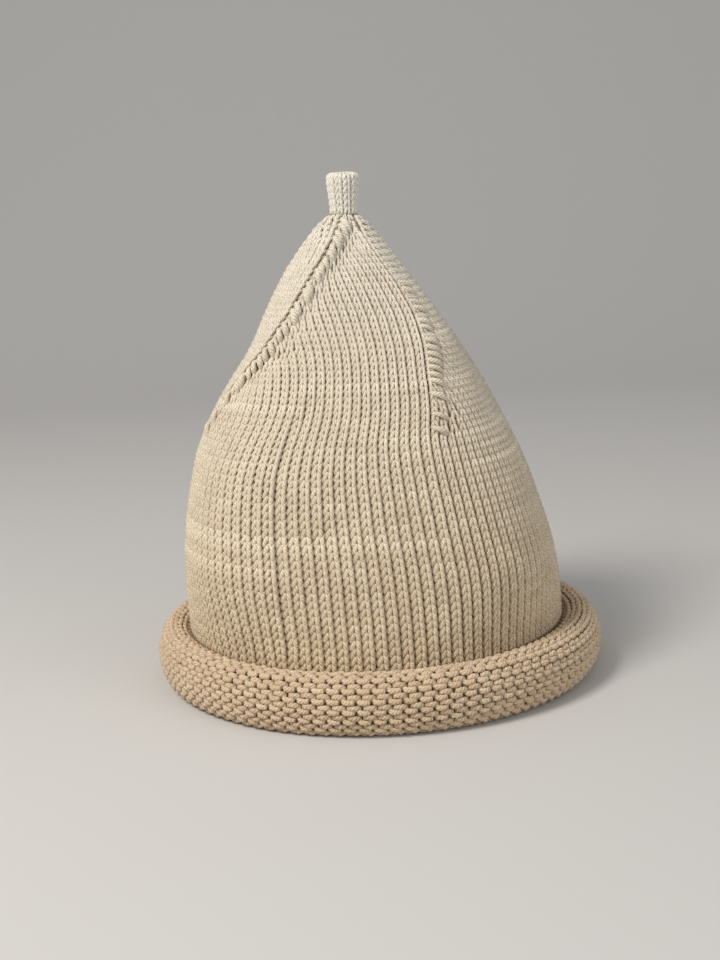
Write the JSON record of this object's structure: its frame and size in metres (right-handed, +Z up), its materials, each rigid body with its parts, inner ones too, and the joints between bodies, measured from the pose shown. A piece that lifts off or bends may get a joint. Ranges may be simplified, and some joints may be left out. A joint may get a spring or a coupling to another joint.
{
  "type": "knit hat",
  "caption": "Tall pointed knit hat with decrease lines swirling to a small knitted stem and a thick outward-rolled brim.",
  "frame": {"origin": "on the surface that the hat rests on, under the middle of the brim", "axes": "+Z up from the brim to the tip, -Y towards the front that the picture shows, +X to the right in the picture"},
  "size_m": [0.2071, 0.2045, 0.2276],
  "materials": {
    "crown_knit": "matt plied yarn in plain knitting, smooth side out",
    "brim_knit": "matt plied yarn in plain knitting, bumpy side out",
    "stem_knit": "matt plied yarn in plain knitting, smooth side out"
  },
  "bodies": {
    "root": {"crown": "crown_knit", "brim_roll": "brim_knit", "stem": "stem_knit"}
  },
  "joints": []
}
